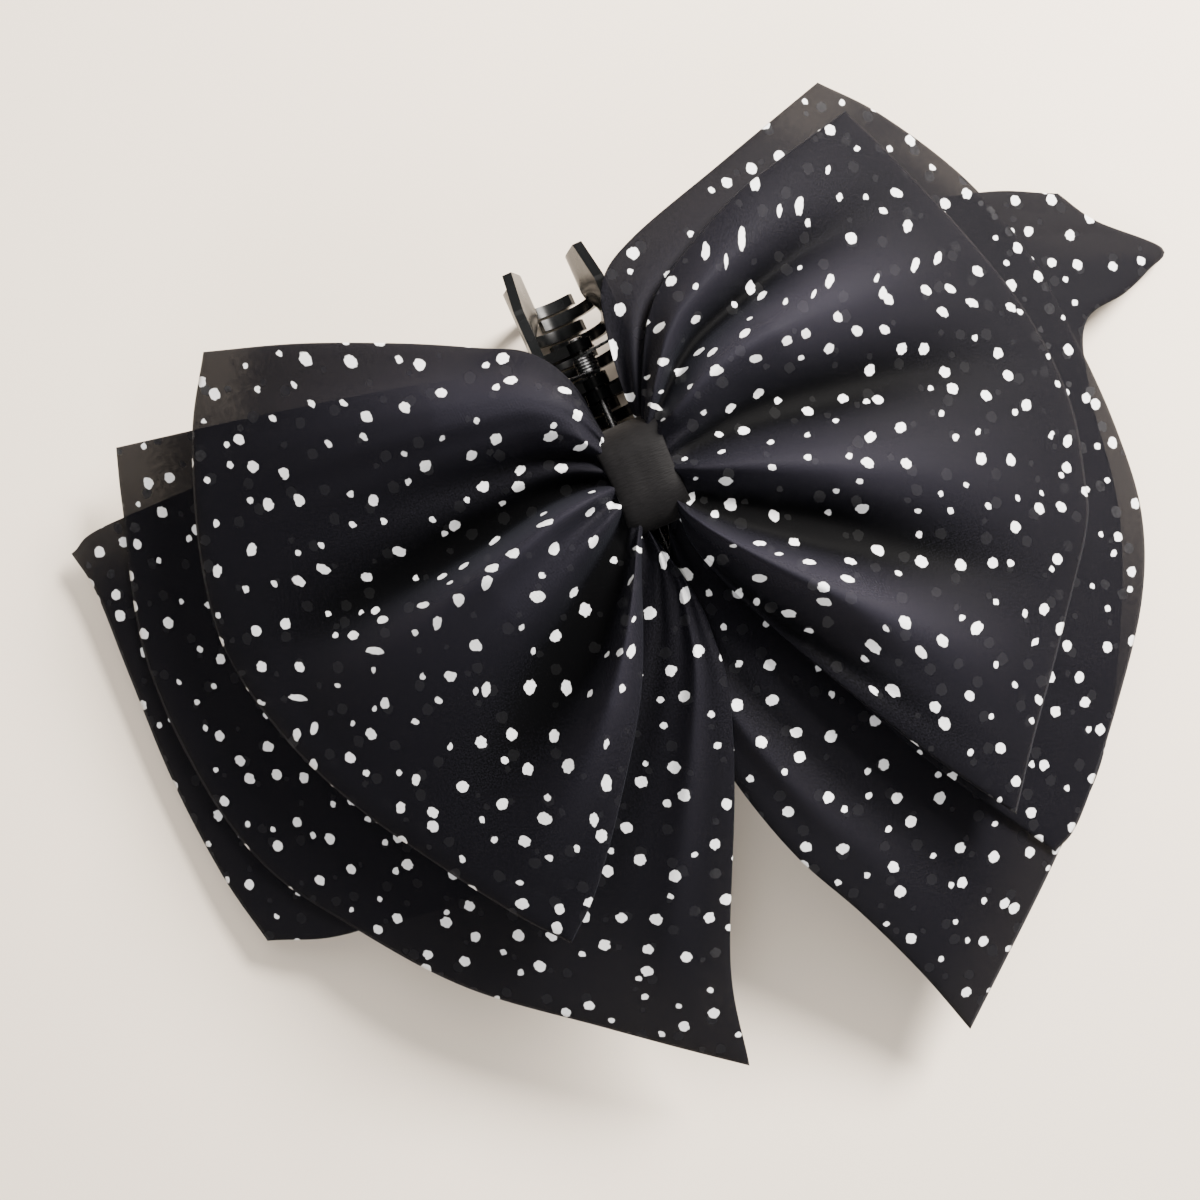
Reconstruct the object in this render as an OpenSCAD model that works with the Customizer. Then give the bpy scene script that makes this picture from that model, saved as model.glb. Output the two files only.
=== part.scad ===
// Chiffon hair bow on a long claw clip: three layered strips pinched by a satin band,
// carried by a bracket on the left jaw. X is the bow's width, Y its height, Z up from the
// surface it stands on. The origin is on that surface, under the knot. Sizes in mm.

/* [Bow] */
// width over the widest wing tips
bow_w = 290; // [235:5:350]
// height from the top corner to the lowest tail
bow_h = 235; // [190:5:285]
// thickness of one pressed strip under the band
strip_t = 3.2; // [2.6:0.1:3.9]
// height of the pinched strips under the band
neck_h = 21; // [17:0.5:25.5]
// width of the satin band
band_w = 15; // [12:0.5:16]

/* [Claw clip] */
// length of both jaws along the hinge
clip_len = 113; // [100:1:136]
// outer radius of the closed claw's round bottom
claw_r = 11; // [9.5:0.5:12.5]
// height of the hinge above the table
hinge_z = 34; // [29:1:41]
// wall of the plastic
wall = 2; // [1.6:0.1:2.4]
// height of the finger plates above the hinge
lever_h = 16; // [13:0.5:20]
// spacing of one jaw's teeth
tooth_pitch = 7.2; // [6.4:0.1:8.7]
// width of a tooth
tooth_w = 2.9; // [2.4:0.1:3.1]

/* [Hinge] */
// diameter of the steel pin
pin_d = 2; // [1.6:0.1:2.4]
// running clearance on the radius
pin_clear = 0.05; // [0.03:0.01:0.08]
// wire of the torsion springs
wire_d = 0.9; // [0.7:0.05:1.1]
// turns in one spring
turns = 6; // [5:1:7]

/* [Hidden] */
$fn = 64;
gap = 0.3;              // space left between soft pieces
fine = 0.1;             // space between pieces that rest on each other
lug_r = pin_d / 2 + 2.4;
lug_t = 2.6;
lug_arm_low = 0.4;      // the lug's arm is this much narrower than its eye, below
lug_arm_top = 1.4;      // and above
pin_end_y = 36.8;       // outer face of the outermost lugs
lug_left_y = [pin_end_y - lug_t / 2, 26];
lug_right_y = 22.8;
spring_y = (pin_end_y - lug_t + lug_left_y[1] + lug_t / 2) / 2;
spring_r = pin_d / 2 + 1.35;
spring_pitch = 1.06 * wire_d;
leg_d = 0.9 * wire_d;
leg_foot = 1;           // the spring's legs end this far below the dip in the finger plates
pin_head_r = pin_d / 2 + 0.7;
pin_head_t = 0.8;
pin_cap_r = pin_d / 2 + 0.8;
pin_cap_t = 1.3;
pin_tail = 1.6;         // the pin reaches this far past the lug, through its cap
notch_half = 15;        // half length of the dip in the finger plates under the knot
notch_depth = 6;
tip_run = 10;           // the finger plates' ends slope down over this length
tip_drop = 5;
spine_extra = 0.3;      // the spine stands this much proud of the teeth
tooth_inset = 0.2;
tooth_end = 300;        // the teeth curve round to this angle, past the claw's middle
tab_half = 9;           // half length of the bracket that carries the bow
tab_t = 2;
bracket_t = 1.2;
bracket_foot = 4;       // the bracket is glued on from this height above the hinge
tab_past = 1.2;         // the tab shows this much beside the band
band_t = 1;
thread_t = 0.8;
thread_w = 5;
felt_t = 0.6;
plate_x = claw_r - wall / 2;  // middle of a finger plate
spine_z = 0.64 * hinge_z;      // the teeth start below this height
// the right plate's dip swings under the band at full opening
sweep_r = norm([claw_r + spine_extra, lever_h - notch_depth]);
band_clear = 0.6;
band_z0 = max(hinge_z + sweep_r + band_clear, hinge_z + lever_h - band_clear);
tab_z0 = band_z0 + band_t + fine;
felt_z0 = tab_z0 + tab_t + fine;
thread_z0 = felt_z0 + felt_t + fine;
neck_z0 = thread_z0 + thread_t + fine;
pitch_z = strip_t + gap;
bundle_top = neck_z0 + 3 * strip_t + 2 * gap;
band_z1 = bundle_top + thread_t + 2 * fine + band_t;
band_half = max(neck_h / 2 + thread_t, tab_half) + fine + 0.3 + band_t;
neck_x = band_w / 2 + 1;
tooth_n = floor((clip_len / 2 - tooth_w) / tooth_pitch - 0.25);
pad_r = 1;
wing_t = strip_t - 0.8;
root_t = 0.2;           // length of the neck's end that a wing starts from
tail_w = 5;             // width between the tail's edges where it passes over the clip
tail_over = 6;          // it stays level up to this far past the clip's end
tail_sag = 3;
tip_x = 0.511;          // share of the bow's width from the knot to its furthest corner
slope_back = (neck_z0 + (strip_t - wing_t) / 2 - fine) / (tip_x * bow_w - neck_x);
slopes = [slope_back, 0.965 * slope_back, 0.845 * slope_back];
tail_tip_z = wing_t / 2 + fine;

// sub-part to show

// ---------- bow ----------

// middle height of layer n at the neck, counted from the back
function neck_z(n) = neck_z0 + strip_t / 2 + n * pitch_z;

// a corner of layer n, at shares of the bow's width and height, on the layer's slope
function at(n, fx, fy) = [fx * bow_w, fy * bow_h,
                          neck_z(n) - slopes[n] * (abs(fx) * bow_w - neck_x)];

module pad(p) {
  translate(p)
    cylinder(r = pad_r, h = wing_t, center = true, $fn = 16);
}

// pressed neck of layer n
module neck(n) {
  translate([-neck_x, -neck_h / 2, neck_z0 + n * pitch_z])
    cube([2 * neck_x, neck_h, strip_t]);
}

// a wing spreads from the neck's side s to its corners, shares of the bow's size
module wing(n, s, corners) {
  hull() {
    translate([s * (neck_x - root_t / 2) - root_t / 2, -neck_h / 2, neck_z0 + n * pitch_z])
      cube([root_t, neck_h, strip_t]);
    for (c = corners)
      pad(at(n, c[0], c[1]));
  }
}

// a point of layer n's slope, in mm
function on_slope(n, x, y) = [x, y, neck_z(n) - slopes[n] * (abs(x) - neck_x)];

// a tail leaves the neck beside the band, passes over the clip's end and falls to the table
module tail(n, s, tip, side) {
  x0 = s * (neck_x + pad_r);
  x1 = s * (neck_x + pad_r + tail_w);
  over_y = -clip_len / 2 - tail_over;
  hull()
    for (x = [x0, x1], y = [pad_r - neck_h / 2, over_y])
      pad(on_slope(n, x, y));
  hull() {
    for (x = [x0, x1])
      pad(on_slope(n, x, over_y));
    pad([tip[0] * bow_w, tip[1] * bow_h, tail_tip_z]);
    pad(at(n, side[0], side[1]) - [0, 0, tail_sag]);
  }
}

module front_strip() {
  color([0.05, 0.05, 0.06]) {
    neck(2);
    wing(2, -1, [[-0.284, 0.300], [-0.360, 0.07], [-0.300, -0.23], [-0.207, -0.400]]);
    wing(2, 1, [[0.281, 0.255], [0.362, -0.028], [0.325, -0.24], [0.183, -0.470]]);
  }
}

module middle_strip() {
  color([0.06, 0.06, 0.07]) {
    neck(1);
    wing(1, -1, [[-0.395, 0.262], [-0.454, -0.013], [-0.381, -0.310], [-0.20, -0.45]]);
    wing(1, 1, [[0.277, 0.300], [0.397, -0.048], [0.369, -0.302], [0.221, -0.542]]);
    tail(1, -1, [-0.115, -0.625], [-0.20, -0.45]);
  }
}

module back_strip() {
  color([0.05, 0.05, 0.06]) {
    neck(0);
    wing(0, -1, [[-0.475, 0.185], [-0.475, -0.037], [-0.462, -0.28], [-0.27, -0.40]]);
    wing(0, 1, [[0.448, 0.105], [tip_x, 0.006], [0.379, -0.30], [0.219, -0.50]]);
    tail(0, 1, [0.078, -0.685], [0.219, -0.50]);
  }
}

// rounded ring standing in the Y-Z plane, wound round the bow's middle
module loop_ring(half, z0, z1, t, w, r) {
  translate([-w / 2, 0, 0])
    rotate([90, 0, 90])
      linear_extrude(w)
        difference() {
          rounded_box(half, z0, z1, r);
          rounded_box(half - t, z0 + t, z1 - t, max(r - t, 0.3));
        }
}

module rounded_box(half, z0, z1, r) {
  hull()
    for (y = [-half + r, half - r], z = [z0 + r, z1 - r])
      translate([y, z])
        circle(r);
}

// several turns of strong thread that gather the three strips
module gather_thread() {
  color([0.03, 0.03, 0.03])
    loop_ring(neck_h / 2 + fine + thread_t, thread_z0, bundle_top + fine + thread_t,
              thread_t, thread_w, 1.1);
}

// satin ribbon round the gathered strips and the bracket's tab
module centre_band() {
  color([0.02, 0.02, 0.02])
    loop_ring(band_half, band_z0, band_z1, band_t, band_w, 2.2);
}

// felt glued between the tab and the gathered strips
module felt_pad() {
  color([0.1, 0.1, 0.1])
    translate([-band_w / 2 + 1, -tab_half, felt_z0])
      cube([band_w - 2, 2 * tab_half, felt_t]);
}

// ---------- clip ----------

// runs a section drawn in X-Z along Y, centred on y
module along_y(y, w) {
  translate([0, y, 0])
    rotate([90, 0, 0])
      linear_extrude(w, center = true)
        children();
}

// curved wall of the left jaw, w long along Y, from angle a0 to a1 round the claw's middle
module wall_arc(y, w, a0, a1, r0, r1) {
  translate([0, y, claw_r])
    rotate([90, 0, 0])
      rotate([0, 0, a0])
        rotate_extrude(angle = a1 - a0)
          translate([r0, -w / 2])
            square([r1 - r0, w]);
}

// finger plate and straight spine along the whole jaw, a little thicker than the teeth, with
// sloping ends and a dip under the knot
module plate() {
  half = clip_len / 2;
  top = hinge_z + lever_h;
  translate([-claw_r - spine_extra, 0, 0])
    rotate([90, 0, 90])
      linear_extrude(wall + spine_extra)
        difference() {
          polygon([[-half, spine_z], [half, spine_z], [half, top - tip_drop],
                   [half - tip_run, top], [tip_run - half, top], [-half, top - tip_drop]]);
          translate([-notch_half, top - notch_depth])
            square([2 * notch_half, 2 * notch_depth]);
        }
}

// one tooth: straight down from the spine, then curved past the middle of the claw
module tooth(y) {
  r0 = claw_r - wall + tooth_inset;
  wall_arc(y, tooth_w, 180, tooth_end, r0, claw_r);
  translate([-claw_r, y - tooth_w / 2, claw_r - fine])
    cube([claw_r - r0, tooth_w, spine_z - claw_r + 1]);
}

// lug of a jaw round the hinge pin
module lug(y) {
  along_y(y, lug_t)
    difference() {
      union() {
        translate([0, hinge_z])
          circle(lug_r);
        translate([-plate_x, hinge_z - lug_r + lug_arm_low])
          square([plate_x, 2 * lug_r - lug_arm_low - lug_arm_top]);
      }
      translate([0, hinge_z])
        circle(pin_d / 2 + pin_clear);
    }
}

// angled bracket glued inside the left finger plate: its top tab carries the bow, inside the
// band. On a narrow claw it steps outwards above the plate's dip, so it stays beside the band
module bow_bracket() {
  inner = -claw_r + wall + fine;
  outer = min(inner, -band_w / 2 - 2 * fine - bracket_t);
  step_z = hinge_z + lever_h - notch_depth + fine;
  reach = band_w / 2 + tab_past;
  foot = hinge_z + bracket_foot;
  top = tab_z0 + tab_t;
  step_in = outer < inner
    ? [[inner + bracket_t, step_z + bracket_t], [outer + bracket_t, step_z + bracket_t]] : [];
  step_out = outer < inner ? [[outer, step_z], [inner, step_z]] : [];
  color([0.05, 0.05, 0.05])
    along_y(0, 2 * tab_half)
      polygon(concat([[inner, foot], [inner + bracket_t, foot]], step_in,
                     [[outer + bracket_t, tab_z0], [reach, tab_z0], [reach, top],
                      [outer, top]], step_out));
}

module jaw_left() {
  color([0.04, 0.04, 0.04]) {
    plate();
    for (k = [-tooth_n : tooth_n])
      tooth((k + 0.25) * tooth_pitch);
    for (s = [-1, 1], y = lug_left_y)
      lug(s * y);
  }
}

module jaw_right() {
  color([0.04, 0.04, 0.04])
    mirror([1, 0, 0]) {
      plate();
      for (k = [-tooth_n : tooth_n])
        tooth((k - 0.25) * tooth_pitch);
      for (s = [-1, 1])
        lug(s * lug_right_y);
    }
}

// ---------- hinge ----------

module hinge_pin() {
  head_y = pin_end_y + fine;
  color([0.6, 0.6, 0.62])
    translate([0, 0, hinge_z])
      rotate([-90, 0, 0]) {
        translate([0, 0, -pin_end_y - pin_tail])
          cylinder(d = pin_d, h = pin_tail + pin_end_y + head_y + pin_head_t / 2);
        translate([0, 0, head_y])
          cylinder(r = pin_head_r, h = pin_head_t);
      }
}

// pressed cap that keeps the pin in
module pin_cap() {
  color([0.6, 0.6, 0.62])
    translate([0, -pin_end_y - fine, hinge_z])
      rotate([90, 0, 0])
        difference() {
          cylinder(r = pin_cap_r, h = pin_cap_t);
          translate([0, 0, -pin_cap_t])
            cylinder(d = pin_d, h = 3 * pin_cap_t);
        }
}

// torsion spring: wound turns, stepped from one to the next by a short bar, and two legs
// that push the finger plates apart
module spring(y) {
  half = (turns - 1) / 2 * spring_pitch;
  color([0.62, 0.62, 0.64])
    translate([0, y, hinge_z]) {
      for (k = [0 : turns - 1])
        translate([0, k * spring_pitch - half, 0])
          rotate([90, 0, 0])
            rotate_extrude()
              translate([spring_r, 0])
                circle(d = wire_d, $fn = 16);
      translate([0, half, -spring_r])
        rotate([90, 0, 0])
          cylinder(d = wire_d / 2, h = 2 * half, $fn = 16);
      for (s = [-1, 1])
        spring_leg(s, s * half);
    }
}

module spring_leg(s, y) {
  start = [-s * spring_r * sin(45), y, spring_r * cos(45)];
  end = [s * (plate_x - wall / 2 - leg_d / 2 - gap), y, lever_h - notch_depth - leg_foot];
  run = end - start;
  translate(start)
    rotate([0, atan2(run[0], run[2]), 0])
      cylinder(d = leg_d, h = norm(run), $fn = 16);
}

module spring_upper() {
  spring(spring_y);
}

module spring_lower() {
  spring(-spring_y);
}

front_strip();
middle_strip();
back_strip();
gather_thread();
centre_band();
felt_pad();
bow_bracket();
jaw_left();
jaw_right();
hinge_pin();
pin_cap();
spring_upper();
spring_lower();
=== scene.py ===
"""Dotted chiffon hair bow on a claw clip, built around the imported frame.

Lengths in this file are in millimetres and are turned into metres when a mesh is made.
X is the bow's width, Y runs along the clip's hinge towards the bow's upper edge, Z is up.
"""

import math

import bmesh
import bpy
import numpy as np
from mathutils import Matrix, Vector, noise


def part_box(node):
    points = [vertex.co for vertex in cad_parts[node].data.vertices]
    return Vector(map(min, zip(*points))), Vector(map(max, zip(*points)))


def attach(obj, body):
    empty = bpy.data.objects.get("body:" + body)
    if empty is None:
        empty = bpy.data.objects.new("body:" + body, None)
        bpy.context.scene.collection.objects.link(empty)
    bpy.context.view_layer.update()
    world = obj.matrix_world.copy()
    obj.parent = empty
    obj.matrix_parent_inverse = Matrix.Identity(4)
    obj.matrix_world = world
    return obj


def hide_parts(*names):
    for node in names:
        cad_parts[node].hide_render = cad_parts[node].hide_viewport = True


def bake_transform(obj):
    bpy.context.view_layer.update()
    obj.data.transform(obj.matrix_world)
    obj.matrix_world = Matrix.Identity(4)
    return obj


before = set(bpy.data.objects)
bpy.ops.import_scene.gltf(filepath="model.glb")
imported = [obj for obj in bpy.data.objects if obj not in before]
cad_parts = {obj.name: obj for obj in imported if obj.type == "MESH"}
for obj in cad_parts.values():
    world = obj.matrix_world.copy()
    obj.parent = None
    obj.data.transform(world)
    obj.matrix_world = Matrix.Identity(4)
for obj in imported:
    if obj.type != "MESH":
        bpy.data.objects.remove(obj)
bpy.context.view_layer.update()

MM = 0.001
BODY = "bow"
JAW = "jaw"
UV_PER_MM = 0.01  # 100 mm of cloth are one unit of the print


def box_mm(node):
    """A CAD node's lowest and highest corners, in millimetres."""
    low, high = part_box(node)
    return np.array(low) / MM, np.array(high) / MM


band_low, band_high = box_mm("centre_band")
_, clip_high = box_mm("jaw_left")
pin_low, pin_high = box_mm("hinge_pin")
hinge_z = (pin_low[2] + pin_high[2]) / 2


# ---------------------------------------------------------------- meshes


def new_object(name, mesh, body, material, smooth=True):
    """A visual piece with its look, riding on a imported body."""
    obj = bpy.data.objects.new(name, mesh)
    bpy.context.scene.collection.objects.link(obj)
    obj.data.materials.clear()
    obj.data.materials.append(material)
    if smooth:
        obj.data.shade_smooth()
    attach(obj, body)
    return obj


def mesh_from(name, points, faces):
    """A mesh from points in millimetres."""
    mesh = bpy.data.meshes.new(name)
    mesh.from_pydata((np.asarray(points, float) * MM).tolist(), [], faces)
    mesh.update()
    return mesh


def spline(points, count):
    """count points along a smooth curve through a few given ones, evenly spaced by length."""
    p = np.asarray(points, float)
    if len(p) == 2:
        w = np.linspace(0, 1, count)[:, None]
        return p[0] * (1 - w) + p[1] * w
    ext = np.vstack([2 * p[0] - p[1], p, 2 * p[-1] - p[-2]])
    out = []
    for i in range(1, len(ext) - 2):
        a, b, c, d = ext[i - 1 : i + 3]
        for w in np.linspace(0, 1, 24, endpoint=False):
            out.append(
                0.5
                * (
                    2 * b
                    + (c - a) * w
                    + (2 * a - 5 * b + 4 * c - d) * w**2
                    + (3 * b - a - 3 * c + d) * w**3
                )
            )
    out.append(p[-1])
    out = np.array(out)
    run = np.concatenate([[0], np.cumsum(np.linalg.norm(np.diff(out, axis=0), axis=1))])
    at = np.linspace(0, run[-1], count)
    return np.stack([np.interp(at, run, out[:, k]) for k in range(p.shape[1])], axis=1)


def tube(path, radius, sides=10, closed=False):
    """Points and faces of a round tube along a path."""
    path = np.asarray(path, float)
    n = len(path)
    if closed:
        tangent = np.roll(path, -1, axis=0) - np.roll(path, 1, axis=0)
    else:
        tangent = np.gradient(path, axis=0)
    tangent /= np.linalg.norm(tangent, axis=1)[:, None]
    side = np.cross(tangent[0], [0.3, 0.2, 0.9])
    side /= np.linalg.norm(side)
    points = []
    for i in range(n):
        side = side - tangent[i] * np.dot(side, tangent[i])
        side /= np.linalg.norm(side)
        up = np.cross(tangent[i], side)
        for k in range(sides):
            a = 2 * math.pi * k / sides
            points.append(path[i] + radius * (math.cos(a) * side + math.sin(a) * up))
    faces = []
    for i in range(n if closed else n - 1):
        j = (i + 1) % n
        for k in range(sides):
            m = (k + 1) % sides
            faces.append([i * sides + k, i * sides + m, j * sides + m, j * sides + k])
    if not closed:
        faces.append(list(range(sides))[::-1])
        faces.append([(n - 1) * sides + k for k in range(sides)])
    return points, faces


# ---------------------------------------------------------------- materials


def node_material(name):
    """A new material, its node tree, its shader and a function that adds a linked node."""
    mat = bpy.data.materials.new(name)
    mat.use_nodes = True
    tree = mat.node_tree
    shader = tree.nodes["Principled BSDF"]

    def add(kind, inputs=None, **props):
        node = tree.nodes.new(kind)
        for key, value in props.items():
            setattr(node, key, value)
        for key, value in (inputs or {}).items():
            if isinstance(value, bpy.types.NodeSocket):
                tree.links.new(value, node.inputs[key])
            else:
                node.inputs[key].default_value = value
        return node

    return mat, tree, shader, add


def math_node(add, operation, a, b=0.0, clamp=False):
    """The output of a new maths node."""
    return add("ShaderNodeMath", {0: a, 1: b}, operation=operation, use_clamp=clamp).outputs[0]


def scaled(add, value, gain, offset, clamp=False):
    """value * gain + offset, where the offset is a number or another node's output."""
    return add(
        "ShaderNodeMath",
        {0: value, 1: gain, 2: offset},
        operation="MULTIPLY_ADD",
        use_clamp=clamp,
    ).outputs[0]


def chiffon():
    """Sheer black chiffon printed with two sizes of white dots."""
    mat, tree, shader, add = node_material("chiffon")
    link = tree.links.new
    uv = add("ShaderNodeUVMap", uv_map="print").outputs[0]
    # edges of the print wander a little
    wander = add("ShaderNodeTexNoise", {"Vector": uv, "Scale": 90.0, "Detail": 2.0})
    shifted = add(
        "ShaderNodeVectorMath",
        {0: wander.outputs["Color"], 1: (0.5, 0.5, 0.5)},
        operation="SUBTRACT",
    ).outputs[0]
    shifted = add(
        "ShaderNodeVectorMath", {0: shifted, "Scale": 0.011}, operation="SCALE"
    ).outputs[0]
    where = add("ShaderNodeVectorMath", {0: uv, 1: shifted}, operation="ADD").outputs[0]
    spacing = 0.088  # between the dots' centres, in units of the print
    share_big = 0.56
    edge_sharpness = 70.0
    alpha_double, alpha_single = 0.93, 0.86
    cells = add(
        "ShaderNodeTexVoronoi",
        {"Vector": where, "Scale": 1 / spacing, "Randomness": 0.82},
        voronoi_dimensions="2D",
        feature="F1",
    )
    pick = add("ShaderNodeSeparateColor", {0: cells.outputs["Color"]}).outputs
    is_big = math_node(add, "LESS_THAN", pick[0], share_big)
    big, small = 0.0138 / spacing, 0.0078 / spacing
    radius = scaled(add, is_big, big - small, small)
    grow = scaled(add, pick[1], 0.022, -0.011)
    radius = math_node(add, "ADD", radius, grow)
    inside = math_node(add, "SUBTRACT", radius, cells.outputs["Distance"])
    dot = scaled(add, inside, edge_sharpness, 0.5, clamp=True)
    # weave of the cloth, seen through the print as grain
    grain = add("ShaderNodeTexNoise", {"Vector": uv, "Scale": 260.0, "Detail": 3.0})
    warp = add(
        "ShaderNodeTexWave",
        {"Vector": uv, "Scale": 52.0, "Distortion": 0.6, "Detail Scale": 2.0},
        bands_direction="X",
    )
    weft = add(
        "ShaderNodeTexWave",
        {"Vector": uv, "Scale": 52.0, "Distortion": 0.6, "Detail Scale": 2.0},
        bands_direction="Y",
    )
    weave = math_node(add, "MULTIPLY", warp.outputs["Fac"], weft.outputs["Fac"])
    ink = add(
        "ShaderNodeMapRange",
        {"Value": grain.outputs["Fac"], 1: 0.3, 2: 0.7, 3: 0.78, 4: 1.0},
    ).outputs[0]
    # painted highlight on the crests of the folds and painted shade in their valleys, read from
    # the fold attribute, with the weave's grain mixed in
    fold = add("ShaderNodeAttribute", attribute_name="fold").outputs["Fac"]
    painted_fold_shade = scaled(add, fold, 0.50, -0.32)
    grain_and_fold_shade = scaled(add, grain.outputs["Fac"], 1.1, painted_fold_shade)
    # the black ground runs from near black (painted shade in the valleys) to a lighter bluish grey
    # (painted highlight on the crests), varied by the grain
    black = add(
        "ShaderNodeMix",
        {"Factor": grain_and_fold_shade, 6: (0.0004, 0.0004, 0.0006, 1), 7: (0.0180, 0.0170, 0.0240, 1)},
        data_type="RGBA",
        clamp_factor=True,
    ).outputs[2]
    white = add(
        "ShaderNodeMix",
        {"Factor": ink, 6: (0.42, 0.42, 0.43, 1), 7: (0.86, 0.87, 0.88, 1)},
        data_type="RGBA",
    ).outputs[2]
    colour = add("ShaderNodeMix", {"Factor": dot, 6: black, 7: white}, data_type="RGBA").outputs[2]
    link(colour, shader.inputs["Base Color"])
    # where only one sheet covers the background, the cloth lets light through
    patch = add("ShaderNodeAttribute", attribute_name="sheer").outputs["Fac"]
    mottle = add("ShaderNodeTexNoise", {"Vector": uv, "Scale": 75.0, "Detail": 6.0})
    ragged = scaled(add, mottle.outputs["Fac"], 1.6, -0.8)
    thin = math_node(add, "ADD", patch, ragged)
    thin = add("ShaderNodeMapRange", {"Value": thin, 1: 0.0, 2: 0.6, 3: 0.0, 4: 1.0}).outputs[0]
    cover = add("ShaderNodeMapRange", {"Value": thin, 3: alpha_double, 4: alpha_single})
    cover_dot = add("ShaderNodeMapRange", {"Value": dot, 3: 0.0, 4: 0.98})
    alpha = math_node(add, "MAXIMUM", cover.outputs[0], cover_dot.outputs[0])
    link(alpha, shader.inputs["Alpha"])
    rough = add("ShaderNodeMapRange", {"Value": dot, 3: 0.68, 4: 0.85}).outputs[0]
    link(rough, shader.inputs["Roughness"])
    height = scaled(add, dot, 0.6, weave)
    bump = add("ShaderNodeBump", {"Height": height, "Strength": 0.16, "Distance": 0.0002})
    link(bump.outputs[0], shader.inputs["Normal"])
    shader.inputs["Sheen Weight"].default_value = 0.013
    shader.inputs["Sheen Roughness"].default_value = 0.5
    shader.inputs["Sheen Tint"].default_value = (0.72, 0.80, 1.0, 1)
    shader.inputs["Specular IOR Level"].default_value = 0.045
    return mat


def satin():
    """Black crepe-backed satin: fine crosswise threads that give back a soft light."""
    mat, tree, shader, add = node_material("satin")
    link = tree.links.new
    uv = add("ShaderNodeUVMap", uv_map="print").outputs[0]
    stretched = add("ShaderNodeMapping", {"Vector": uv, "Scale": (50.0, 190.0, 1.0)}).outputs[0]
    threads = add("ShaderNodeTexNoise", {"Vector": stretched, "Scale": 1.0, "Detail": 4.0})
    colour = add(
        "ShaderNodeMix",
        {
            "Factor": threads.outputs["Fac"],
            6: (0.0012, 0.0011, 0.0012, 1),
            7: (0.006, 0.0055, 0.006, 1),
        },
        data_type="RGBA",
    ).outputs[2]
    link(colour, shader.inputs["Base Color"])
    rough = add("ShaderNodeMapRange", {"Value": threads.outputs["Fac"], 3: 0.55, 4: 0.72})
    link(rough.outputs[0], shader.inputs["Roughness"])
    bump = add(
        "ShaderNodeBump",
        {"Height": threads.outputs["Fac"], "Strength": 0.5, "Distance": 0.0002},
    )
    link(bump.outputs[0], shader.inputs["Normal"])
    shader.inputs["Specular IOR Level"].default_value = 0.09
    shader.inputs["Sheen Weight"].default_value = 0.02
    return mat


def plain_cloth(name, low, high, scale, roughness):
    """Matt cloth with a little colour variation: felt or thread."""
    mat, tree, shader, add = node_material(name)
    link = tree.links.new
    place = add("ShaderNodeTexCoord").outputs["Object"]
    fuzz = add("ShaderNodeTexNoise", {"Vector": place, "Scale": scale, "Detail": 6.0})
    colour = add(
        "ShaderNodeMix", {"Factor": fuzz.outputs["Fac"], 6: low, 7: high}, data_type="RGBA"
    ).outputs[2]
    link(colour, shader.inputs["Base Color"])
    bump = add(
        "ShaderNodeBump", {"Height": fuzz.outputs["Fac"], "Strength": 0.5, "Distance": 0.0003}
    )
    link(bump.outputs[0], shader.inputs["Normal"])
    shader.inputs["Roughness"].default_value = roughness
    shader.inputs["Sheen Weight"].default_value = 0.2
    return mat


def gloss_plastic():
    """Moulded glossy black plastic with faint flow marks and fingerprints."""
    mat, tree, shader, add = node_material("plastic")
    link = tree.links.new
    place = add("ShaderNodeTexCoord").outputs["Object"]
    smear = add("ShaderNodeTexNoise", {"Vector": place, "Scale": 90.0, "Detail": 4.0})
    flow = add("ShaderNodeTexNoise", {"Vector": place, "Scale": 420.0, "Detail": 2.0})
    rough = add(
        "ShaderNodeMapRange",
        {"Value": smear.outputs["Fac"], 1: 0.3, 2: 0.75, 3: 0.18, 4: 0.34},
    )
    link(rough.outputs[0], shader.inputs["Roughness"])
    colour = add(
        "ShaderNodeMix",
        {
            "Factor": smear.outputs["Fac"],
            6: (0.0025, 0.0028, 0.0030, 1),
            7: (0.006, 0.0065, 0.007, 1),
        },
        data_type="RGBA",
    ).outputs[2]
    link(colour, shader.inputs["Base Color"])
    bump = add(
        "ShaderNodeBump", {"Height": flow.outputs["Fac"], "Strength": 0.06, "Distance": 0.0003}
    )
    link(bump.outputs[0], shader.inputs["Normal"])
    shader.inputs["Specular IOR Level"].default_value = 0.12
    shader.inputs["Coat Weight"].default_value = 0.02
    shader.inputs["Coat Roughness"].default_value = 0.12
    return mat


def spring_steel():
    """Bright drawn wire with fine marks."""
    mat, tree, shader, add = node_material("steel")
    link = tree.links.new
    place = add("ShaderNodeTexCoord").outputs["Object"]
    marks = add("ShaderNodeTexNoise", {"Vector": place, "Scale": 1500.0, "Detail": 3.0})
    rough = add("ShaderNodeMapRange", {"Value": marks.outputs["Fac"], 3: 0.18, 4: 0.38})
    link(rough.outputs[0], shader.inputs["Roughness"])
    colour = add(
        "ShaderNodeMix",
        {"Factor": marks.outputs["Fac"], 6: (0.42, 0.42, 0.43, 1), 7: (0.62, 0.62, 0.63, 1)},
        data_type="RGBA",
    ).outputs[2]
    link(colour, shader.inputs["Base Color"])
    shader.inputs["Metallic"].default_value = 1.0
    return mat


CHIFFON = chiffon()
SATIN = satin()
FELT = plain_cloth("felt", (0.01, 0.01, 0.011, 1), (0.03, 0.03, 0.032, 1), 900.0, 0.95)
THREAD = plain_cloth("thread", (0.008, 0.008, 0.009, 1), (0.02, 0.02, 0.022, 1), 2500.0, 0.7)
PLASTIC = gloss_plastic()
STEEL = spring_steel()


# ---------------------------------------------------------------- fabric

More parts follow.
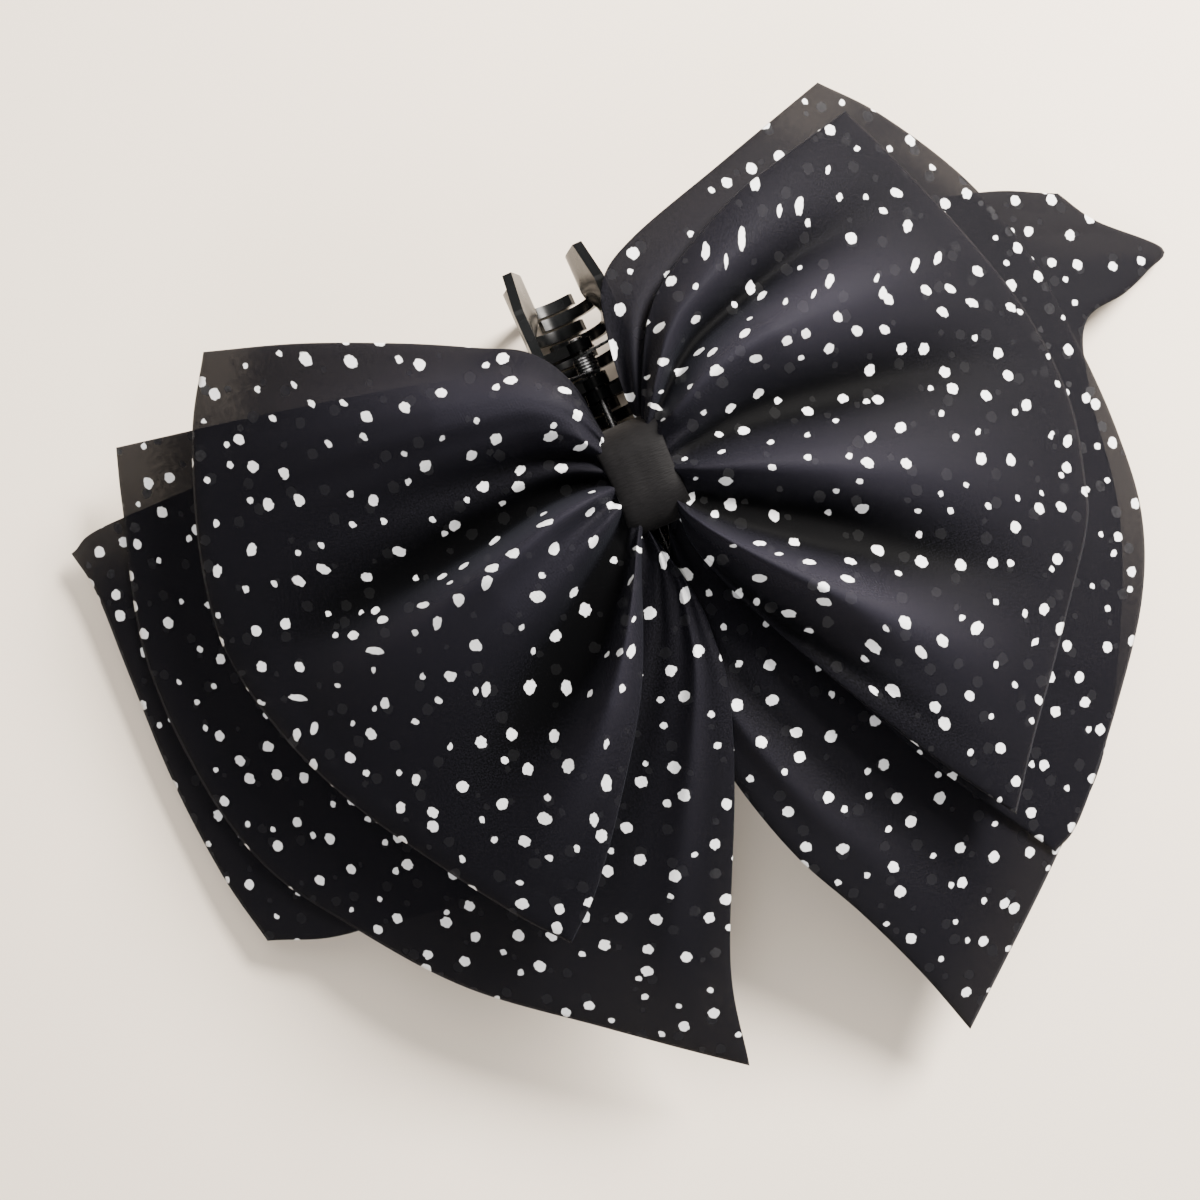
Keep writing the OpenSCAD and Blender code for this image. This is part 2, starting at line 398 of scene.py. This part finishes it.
# height of each layer at the knot and how far it falls, at what distance from the clip
LAYERS = {
    "back": {"root": 55.7, "drop": 53.5, "reach": 150, "power": 1.15},
    "middle": {"root": 59.2, "drop": 48.5, "reach": 133, "power": 1.15},
    "front": {"root": 63.0, "drop": 31.0, "reach": 106, "power": 1.25},
}
BELOW = {"front": "middle", "middle": "back"}
RIDGE = 45  # half length over which the clip holds the layers up
ROOT_X = 4
ROOT_HALF = 9.6
HALF_SHEET = 0.55  # half the distance between the two sheets at an edge
LIP = 3.0  # width of the rounded edge where the two sheets meet
GAP_BELOW = 2.0  # what a valley leaves above the layer underneath
TABLE_CLEAR = 1.6  # lowest height of a layer's middle
TABLE_TOUCH = 0.35  # lowest height of a lower sheet


def drape(layer, x, y):
    """Height of a layer that hangs over the clip as over a ridge pole."""
    f = LAYERS[layer]
    away = np.hypot(x, np.maximum(0, np.abs(y) - RIDGE))
    return np.maximum(TABLE_CLEAR, f["root"] - f["drop"] * (away / f["reach"]) ** f["power"])


def ridge_profile(d):
    """A soft fold: rounded top and long flanks."""
    return (1 + d**2) ** -1.6


def lump(x, y, scale, seed):
    """Smooth noise on arrays, from -1 to 1."""
    flat = [
        noise.noise(Vector((a * scale + seed, b * scale - seed, seed * 1.7)))
        for a, b in zip(x.ravel(), y.ravel())
    ]
    return np.array(flat).reshape(x.shape)


def wing(
    name, layer, sign, top, side, bottom, folds, seed, puff=3.0, pleats=7, wave=2.0, sheer=()
):
    """One wing: a flat tube of cloth that leaves the knot in pleats.

    top, side and bottom are its outline's points, from the knot to the top corner, on to the
    bottom corner, and from the knot to the bottom corner. Each fold is (place across the wing
    at the knot, place at the outer edge, height, width, where along the wing it is highest).
    Each sheer patch is (place along, place across, half length, half width): there only one
    sheet covers what is behind.
    """
    rows, cols = 110, 170
    s = np.linspace(0, 1, rows)
    s = 0.75 * s + 0.25 * (0.5 - 0.5 * np.cos(math.pi * s))
    u = np.linspace(0, 1, cols)
    t = 0.35 * u + 0.65 * (0.5 - 0.5 * np.cos(math.pi * u))
    root0 = np.array([sign * ROOT_X, ROOT_HALF])
    root1 = np.array([sign * ROOT_X, -ROOT_HALF])

    def along(points, at):
        curve = spline(points, 400)
        k = np.linspace(0, 1, 400)
        return np.stack([np.interp(at, k, curve[:, c]) for c in (0, 1)], axis=1)

    a_top = along([root0, *top, side[0]], s)[:, None, :]
    a_bot = along([root1, *bottom, side[-1]], s)[:, None, :]
    a_side = along(side, t)[None, :, :]
    a_root = along([root0, root1], t)[None, :, :]
    S, T = s[:, None, None], t[None, :, None]
    corners = (
        (1 - S) * (1 - T) * root0
        + (1 - S) * T * root1
        + S * (1 - T) * np.array(side[0])
        + S * T * np.array(side[-1])
    )
    flat = (1 - T) * a_top + T * a_bot + (1 - S) * a_root + S * a_side - corners
    x, y = flat[..., 0], flat[..., 1]
    ss, tt = np.broadcast_to(s[:, None], x.shape), np.broadcast_to(t[None, :], x.shape)

    fold = np.zeros_like(x)
    for t0, t1, height, width, peak in folds:
        centre = t0 + (t1 - t0) * ss
        rise = (ss / peak) ** 1.3 * np.exp(1.3 * (1 - ss / peak))
        fade = 1 - 0.92 * np.clip((ss - 0.45) / 0.47, 0, 1)
        fold += height * rise * fade * ridge_profile((tt - centre) / (width * (0.7 + 0.6 * ss)))
    pleat = 2.0 * np.cos(2 * math.pi * (pleats * tt + 0.25)) * np.exp(-((ss / 0.22) ** 1.5))
    crease = lump(ss * 1.3, tt * 9, 1.0, seed) * 1.1 * np.sin(math.pi * ss) ** 0.6
    edge = lump(ss, tt * 3.2, 1.0, seed + 9) * wave * ss**2
    streak = lump(ss * 2, tt * 26, 1.0, seed + 4) * 0.35 * np.sin(math.pi * ss) ** 0.5
    shape = fold + pleat + crease + edge + streak
    inner = np.clip(ss / 0.12, 0, 1)
    base = drape(layer, x, y)
    # a valley stops short of the layer underneath
    if layer in BELOW:
        room = np.maximum(base - drape(BELOW[layer], x, y) - GAP_BELOW, 1.0)
    else:
        room = 4.0
    # how high each point stands in the big folds and pleats, kept for the cloth's painted
    # highlight on crests and painted shade in valleys
    painted_fold_light = np.clip((fold + 0.5 * pleat) / 8, -1, 1)
    shape = np.where(shape < 0, -room * np.tanh(-shape / room), shape)

    span = np.linalg.norm(a_top - a_bot, axis=2) + 1e-6
    from_edge = np.minimum(tt, 1 - tt) * span
    from_edge = np.minimum(from_edge, (1 - ss) * 90)
    lip = np.clip(from_edge / LIP, 0, 1)
    lip = np.sqrt(1 - (1 - lip) ** 2)
    swell = puff * (4 * tt * (1 - tt)) ** 0.6 * np.sin(math.pi * ss**0.8) ** 0.8
    upper = base + shape * inner + (HALF_SHEET + swell) * lip
    lower = base + 0.5 * np.minimum(shape, 1.5) * inner - HALF_SHEET * lip
    mid = (upper + lower) / 2
    closed = lip <= 1e-6
    upper = np.where(closed, mid, upper)
    lower = np.maximum(np.where(closed, mid, lower), TABLE_TOUCH)
    upper = np.maximum(upper, lower)

    # print coordinates follow the cloth's own length along its slopes, so the dots stay round
    def stretch(z, axis):
        run = np.hypot(np.diff(x, axis=axis), np.diff(y, axis=axis)) + 1e-6
        return np.minimum(np.sqrt(1 + (np.diff(z, axis=axis) / run) ** 2), 2.5)

    def laid_flat(z):
        along_s, along_t = stretch(z, 0), stretch(z, 1)
        du = np.diff(x, axis=0) * along_s
        w = x[[0], :] + np.vstack([np.zeros((1, cols)), np.cumsum(du, axis=0)])
        dv = np.diff(y, axis=1) * along_t
        v = np.hstack([np.zeros((rows, 1)), np.cumsum(dv, axis=1)])
        v -= v[:, [cols // 2]]
        centre = np.diff(y[:, cols // 2]) * along_s[:, cols // 2]
        v += np.concatenate([[0], np.cumsum(centre)])[:, None]
        return w, v

    points, uvs = [], []
    for z, shift in ((upper, 0.0), (lower, 431.0)):
        w, v = laid_flat(z)
        points.append(np.stack([x, y, z], axis=2).reshape(-1, 3))
        uvs.append(np.stack([w + seed * 37 + shift, v + seed * 53], axis=2).reshape(-1, 2))
    points, uvs = np.vstack(points), np.vstack(uvs) * UV_PER_MM
    count = rows * cols
    faces = []
    for i in range(rows - 1):
        for j in range(cols - 1):
            a, b = i * cols + j, i * cols + j + 1
            c, d = (i + 1) * cols + j + 1, (i + 1) * cols + j
            quad = [a, d, c, b] if sign > 0 else [a, b, c, d]
            faces.append(quad)
            faces.append([count + k for k in reversed(quad)])
    mesh = mesh_from(name, points, faces)
    layer_uv = mesh.uv_layers.new(name="print")
    index = np.zeros(len(mesh.loops), int)
    mesh.loops.foreach_get("vertex_index", index)
    layer_uv.data.foreach_set("uv", uvs[index].ravel())
    thin = np.full(x.shape, -1.0)
    for s0, t0, half_s, half_t in sheer:
        thin = np.maximum(thin, 1 - np.maximum(abs(ss - s0) / half_s, abs(tt - t0) / half_t))
    patch = mesh.attributes.new("sheer", "FLOAT", "POINT")
    patch.data.foreach_set("value", np.tile(thin.ravel(), 2))
    # the fold attribute carries the painted light and shade of the folds to the cloth's colour
    height = mesh.attributes.new("fold", "FLOAT", "POINT")
    height.data.foreach_set("value", np.tile(painted_fold_light.ravel(), 2))
    bm = bmesh.new()
    bm.from_mesh(mesh)
    bmesh.ops.remove_doubles(bm, verts=bm.verts, dist=1e-7)
    bm.to_mesh(mesh)
    bm.free()
    return new_object(name, mesh, BODY, CHIFFON)


def front_left():
    return wing(
        "front_wing_left",
        "front",
        -1,
        top=[(-6, 25), (-12, 35), (-22, 41), (-38, 50), (-60, 61)],
        side=[(-82, 70), (-93, 53), (-104, 26), (-108, 3), (-103, -21), (-94, -42), (-83, -60),
              (-68, -82), (-59, -93)],
        bottom=[(-8, -18), (-19, -43), (-33, -64), (-48, -83)],
        folds=[(0.18, 0.14, 8, 0.13, 0.35), (0.33, 0.28, -4, 0.04, 0.22),
               (0.45, 0.42, -13, 0.05, 0.55), (0.53, 0.53, 12, 0.07, 0.50),
               (0.66, 0.62, 5, 0.08, 0.30), (0.80, 0.78, -14, 0.08, 0.28),
               (0.93, 0.90, 8, 0.06, 0.40)],
        seed=1,
        puff=5.0,
        sheer=[(0.98, 0.0, 0.13, 0.16)],
    )


def front_right():
    return wing(
        "front_wing_right",
        "front",
        1,
        top=[(10, 22), (16, 32), (24, 39), (43, 49), (58, 54)],
        side=[(80, 60), (87, 44), (95, 23), (102, -1), (103, -24), (98, -43), (93, -54),
              (77, -73), (61, -92), (49, -108)],
        bottom=[(4, -20), (10, -37), (20, -58), (34, -84)],
        folds=[(0.10, 0.05, 5, 0.06, 0.35), (0.18, 0.12, -9, 0.04, 0.45),
               (0.28, 0.22, 13, 0.09, 0.55), (0.42, 0.38, -10, 0.06, 0.45),
               (0.56, 0.58, 8, 0.10, 0.50), (0.70, 0.70, -14, 0.06, 0.35),
               (0.84, 0.82, 12, 0.07, 0.50), (0.96, 0.95, -4, 0.04, 0.40)],
        seed=2,
        puff=5.0,
    )


def middle_left():
    return wing(
        "middle_wing_left",
        "middle",
        -1,
        top=[(-8, 27), (-30, 38), (-70, 50)],
        side=[(-115, 62), (-120, 48), (-131, 13), (-131, -23), (-124, -50), (-109, -72),
              (-89, -96), (-62, -118), (-33, -142)],
        bottom=[(0, -28), (0, -41), (-2, -54), (-10, -76), (-27, -115)],
        folds=[(0.3, 0.3, 1.5, 0.06, 0.5), (0.9, 0.93, 3, 0.03, 0.5), (0.8, 0.85, -2, 0.03, 0.5)],
        seed=3,
        puff=1.8,
        wave=1.5,
        sheer=[(0.99, 0.02, 0.13, 0.12), (0.72, 1.0, 0.22, 0.05)],
    )


def middle_right():
    return wing(
        "middle_wing_right",
        "middle",
        1,
        top=[(4, 19), (6, 33), (10, 44), (21, 51), (47, 60)],
        side=[(79, 71), (91, 58), (105, 36), (113, 12), (115, -13), (115, -36), (112, -57),
              (103, -76), (86, -97), (66, -119), (57, -124)],
        bottom=[(10, -30), (31, -80)],
        folds=[(0.3, 0.3, 1.5, 0.06, 0.5), (0.1, 0.08, 2, 0.05, 0.4)],
        seed=4,
        puff=1.8,
        wave=1.5,
        sheer=[(0.95, 0.0, 0.16, 0.09), (1.0, 0.2, 0.07, 0.12), (1.0, 0.52, 0.09, 0.22)],
    )


def back_left():
    return wing(
        "back_wing_left",
        "back",
        -1,
        top=[(-9, 22), (-50, 38), (-123, 46)],
        side=[(-139, 44), (-137, 32), (-138, 9), (-139, -20), (-137, -47), (-133, -67)],
        bottom=[(-10, -30), (-60, -72), (-109, -73)],
        folds=[(0.5, 0.5, 1.0, 0.06, 0.5)],
        seed=5,
        puff=0.2,
        wave=1.0,
        sheer=[(0.97, 0.0, 0.12, 0.14)],
    )


def back_right():
    return wing(
        "back_wing_right",
        "back",
        1,
        top=[(9, 20), (50, 40), (104, 33)],
        side=[(128, 25), (135, 15), (150, 2), (143, -2), (134, -5), (120, -8), (113, -25),
              (105, -60), (80, -105), (58, -125), (32, -148), (21, -158)],
        bottom=[(-4, -25), (-10, -45), (-10, -60), (-8, -76), (-2, -97), (7, -117), (15, -138)],
        folds=[(0.9, 0.95, 2.5, 0.03, 0.6), (0.84, 0.9, -1.5, 0.03, 0.6)],
        seed=6,
        puff=0.2,
        wave=1.0,
    )


# the two wings made for each of the model's cloth strips, whose own meshes are hidden
wings = {
    "front_strip": [front_left(), front_right()],
    "middle_strip": [middle_left(), middle_right()],
    "back_strip": [back_left(), back_right()],
}
for node, pair in wings.items():
    for obj in pair:
        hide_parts(node)


# ---------------------------------------------------------------- band and thread


def loop_path(half, low, high, radius, low_radius, count):
    """Points of a rectangle in the Y-Z plane, rounded more above than below, evenly spaced."""
    points = []
    for cy, cz, r, a0 in (
        (half - radius, high - radius, radius, 0),
        (-half + radius, high - radius, radius, 90),
        (-half + low_radius, low + low_radius, low_radius, 180),
        (half - low_radius, low + low_radius, low_radius, 270),
    ):
        for k in range(13):
            a = math.radians(a0 + 90 * k / 12)
            points.append((cy + r * math.cos(a), cz + r * math.sin(a)))
    points.append(points[0])
    p = np.array(points)
    run = np.concatenate([[0], np.cumsum(np.linalg.norm(np.diff(p, axis=0), axis=1))])
    at = np.linspace(0, run[-1], count, endpoint=False)
    return np.stack([np.interp(at, run, p[:, k]) for k in (0, 1)], axis=1)


def satin_band():
    """Ribbon round the knot, a closed loop with rolled long edges and fine creases."""
    around, across = 220, 40
    upper_corner, lower_corner = 8.5, 1.6
    thickness = 0.5
    half, low, high = band_high[1], band_low[2], band_high[2]
    width = band_high[0] - band_low[0]
    path = loop_path(half, low, high, upper_corner, lower_corner, around)
    centre = np.array([0.0, (low + high) / 2])
    nxt = np.roll(path, -1, axis=0) - np.roll(path, 1, axis=0)
    out = np.stack([nxt[:, 1], -nxt[:, 0]], axis=1)
    out /= np.linalg.norm(out, axis=1)[:, None]
    flip = np.sum(out * (path - centre), axis=1) < 0
    out[flip] *= -1
    points, uvs = [], []
    run = np.linspace(0, 90, around, endpoint=False)
    for shell in (0, 1):
        for i in range(around):
            for j in range(across):
                w = j / (across - 1)
                side = 2 * w - 1
                x = side * width / 2
                x *= 1 + 0.03 * math.sin(run[i] * 0.21)
                roll = -1.0 * abs(side) ** 4
                crease = 0.2 * noise.noise(Vector((w * 4, run[i] * 0.05, 3.1)))
                lift = -thickness * shell + roll + crease * (1 - shell) - 0.15
                p = path[i] + out[i] * lift
                points.append((x, p[0], p[1]))
                uvs.append((x * UV_PER_MM, run[i] * UV_PER_MM))
    n = around * across
    faces = []
    for i in range(around):
        k = (i + 1) % around
        for j in range(across - 1):
            quad = [i * across + j, i * across + j + 1, k * across + j + 1, k * across + j]
            faces.append(quad)
            faces.append([n + q for q in reversed(quad)])
        for j in (0, across - 1):
            quad = [i * across + j, k * across + j, n + k * across + j, n + i * across + j]
            faces.append(quad if j == 0 else quad[::-1])
    mesh = mesh_from("satin_band", points, faces)
    uv = mesh.uv_layers.new(name="print")
    index = np.zeros(len(mesh.loops), int)
    mesh.loops.foreach_get("vertex_index", index)
    uv.data.foreach_set("uv", np.array(uvs)[index].ravel())
    bm = bmesh.new()
    bm.from_mesh(mesh)
    bmesh.ops.recalc_face_normals(bm, faces=bm.faces)
    bm.to_mesh(mesh)
    bm.free()
    obj = new_object("satin_band", mesh, BODY, SATIN)
    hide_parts("centre_band")
    return obj


def gather_thread():
    """Turns of thread wound side by side round the gathered cloth."""
    low, high = box_mm("gather_thread")
    wire = 0.4
    turns, steps = 5, 60
    upper_corner, lower_corner = 7.2, 1.0
    path = loop_path(
        high[1] - wire, low[2] + wire, high[2] - wire, upper_corner, lower_corner, steps
    )
    width = high[0] - low[0] - 2 * wire
    points = []
    for k in range(turns * steps):
        y, z = path[k % steps]
        points.append((low[0] + wire + width * k / (turns * steps - 1), y, z))
    verts, faces = tube(points, wire, 8)
    mesh = mesh_from("thread", verts, faces)
    obj = new_object("gather_thread_turns", mesh, BODY, THREAD)
    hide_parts("gather_thread")
    return obj


satin_band()
gather_thread()


# ---------------------------------------------------------------- clip


def flare(bm):
    """Lean a jaw's ends: drawn in most at the finger plate's foot, not at all at its top."""
    start, full, lean = 39.5, 47.0, 3.4
    foot, top, spine = hinge_z + 1.5, clip_high[2], hinge_z - 11
    cuts = [(1, s * y) for s in (-1, 1) for y in np.linspace(start, full, 6)]
    cuts += [(2, z) for z in np.linspace(spine, top - 1, 12)]
    for axis, place in cuts:
        where, normal = [0, 0, 0], [0, 0, 0]
        where[axis], normal[axis] = place * MM, 1
        geom = bm.verts[:] + bm.edges[:] + bm.faces[:]
        bmesh.ops.bisect_plane(bm, geom=geom, plane_co=where, plane_no=normal)
    for v in bm.verts:
        x, y, z = v.co / MM
        if z <= spine or abs(x) < 5:
            continue
        w = min(1, max(0, (abs(y) - start) / (full - start)))
        drawn = (z - spine) / (foot - spine) if z < foot else (top - z) / (top - foot)
        v.co.x -= math.copysign(lean * w * w * (3 - 2 * w) * max(0, drawn) * MM, x)


def softened(node, name, body, material, bevel, shape=None):
    """A copy of a CAD node with its sharp moulded edges rounded."""
    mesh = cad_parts[node].data.copy()
    bm = bmesh.new()
    bm.from_mesh(mesh)
    bmesh.ops.remove_doubles(bm, verts=bm.verts, dist=2e-6)
    bmesh.ops.dissolve_limit(
        bm, angle_limit=math.radians(1), verts=bm.verts, edges=bm.edges
    )
    if shape:
        shape(bm)
    bm.to_mesh(mesh)
    bm.free()
    obj = new_object(name, mesh, body, material, smooth=False)
    rounding = obj.modifiers.new("rounding", "BEVEL")
    rounding.width = bevel * MM
    rounding.segments = 2
    rounding.limit_method = "ANGLE"
    rounding.angle_limit = math.radians(35)
    rounding.harden_normals = False
    for face in mesh.polygons:
        face.use_smooth = True
    mesh.set_sharp_from_angle(angle=math.radians(40))
    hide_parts(node)
    return obj


def torsion_spring(node, name):
    """Wound wire round the pin, with a leg to each finger plate."""
    low, high = box_mm(node)
    wire = 0.45
    turns = 6
    middle = (low[1] + high[1]) / 2
    coil_r = hinge_z - low[2] - wire
    half = (high[1] - low[1]) / 2 - wire
    reach = high[0] - wire
    rise = high[2] - hinge_z - wire
    path = [(-reach, middle - half, hinge_z + rise)]
    start = math.pi * 0.25
    steps = 28
    total = turns * steps + steps // 4
    for k in range(total + 1):
        a = start - 2 * math.pi * k / steps
        path.append((coil_r * math.sin(a), middle - half + 2 * half * k / total,
                     hinge_z + coil_r * math.cos(a)))
    path.append((reach, middle + half, hinge_z + rise))
    verts, faces = tube(spline(path, 600), wire, 10)
    obj = bpy.data.objects.new(name, mesh_from(name, verts, faces))
    bpy.context.scene.collection.objects.link(obj)
    obj.data.materials.append(STEEL)
    obj.data.shade_smooth()
    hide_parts(node)
    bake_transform(obj)
    return obj


softened("jaw_left", "jaw_left_moulded", BODY, PLASTIC, 0.35, flare)
softened("bow_bracket", "bow_bracket_bent", BODY, PLASTIC, 0.3)
softened("jaw_right", "jaw_right_moulded", JAW, PLASTIC, 0.35, flare)
softened("hinge_pin", "hinge_pin_headed", BODY, STEEL, 0.2)
softened("pin_cap", "pin_cap_pressed", BODY, STEEL, 0.2)
softened("felt_pad", "felt_pad_cut", BODY, FELT, 0.15)
torsion_spring("spring_upper", "spring_upper_wire")
torsion_spring("spring_lower", "spring_lower_wire")


# ---------------------------------------------------------------- stage


def floor():
    """The warm white table top, part of the stage only."""
    mat, tree, shader, add = node_material("table")
    place = add("ShaderNodeTexCoord").outputs["Object"]
    tone = add("ShaderNodeTexNoise", {"Vector": place, "Scale": 3.0, "Detail": 3.0})
    colour = add(
        "ShaderNodeMix",
        {"Factor": tone.outputs["Fac"], 6: (0.83, 0.715, 0.585, 1), 7: (0.88, 0.775, 0.65, 1)},
        data_type="RGBA",
    ).outputs[2]
    tree.links.new(colour, shader.inputs["Base Color"])
    shader.inputs["Roughness"].default_value = 0.8
    size = 1500
    corners = [(-size, -size, 0), (size, -size, 0), (size, size, 0), (-size, size, 0)]
    obj = bpy.data.objects.new("table_top", mesh_from("table_top", corners, [[0, 1, 2, 3]]))
    bpy.context.scene.collection.objects.link(obj)
    obj.data.materials.append(mat)


def lamp(name, place, aim, size, watts, colour):
    """A round area lamp turned towards a point, in metres."""
    data = bpy.data.lights.new(name, "AREA")
    data.shape = "DISK"
    data.size = size
    data.energy = watts
    data.color = colour
    obj = bpy.data.objects.new(name, data)
    bpy.context.scene.collection.objects.link(obj)
    obj.location = place
    direction = Vector(aim) - Vector(place)
    obj.rotation_euler = direction.to_track_quat("-Z", "Y").to_euler()


def camera():
    """Straight above the bow, turned so that the bow lies aslant in the picture."""
    height, wide = 440, 312.4
    sensor = 36
    data = bpy.data.cameras.new("camera")
    data.lens = sensor * height / wide
    data.clip_start = 0.01
    obj = bpy.data.objects.new("camera", data)
    bpy.context.scene.collection.objects.link(obj)
    obj.location = (-20 * MM, -22 * MM, height * MM)
    obj.rotation_euler = (0, 0, math.radians(-24))
    bpy.context.scene.camera = obj


floor()
lamp("key", (0.72, 0.32, 0.62), (0, 0, 0), 0.40, 55.0, (1.0, 0.955, 0.905))
lamp("fill", (-0.3, -0.7, 0.7), (0, 0, 0), 0.6, 5.0, (0.97, 0.98, 1.0))
lamp("top", (0.1, 0.7, 1.1), (0, 0, 0), 0.9, 7.0, (1.0, 0.97, 0.93))
world = bpy.data.worlds.new("world")
world.use_nodes = True
world.node_tree.nodes["Background"].inputs[0].default_value = (1.0, 0.95, 0.90, 1)
world.node_tree.nodes["Background"].inputs[1].default_value = 0.40
bpy.context.scene.world = world
camera()
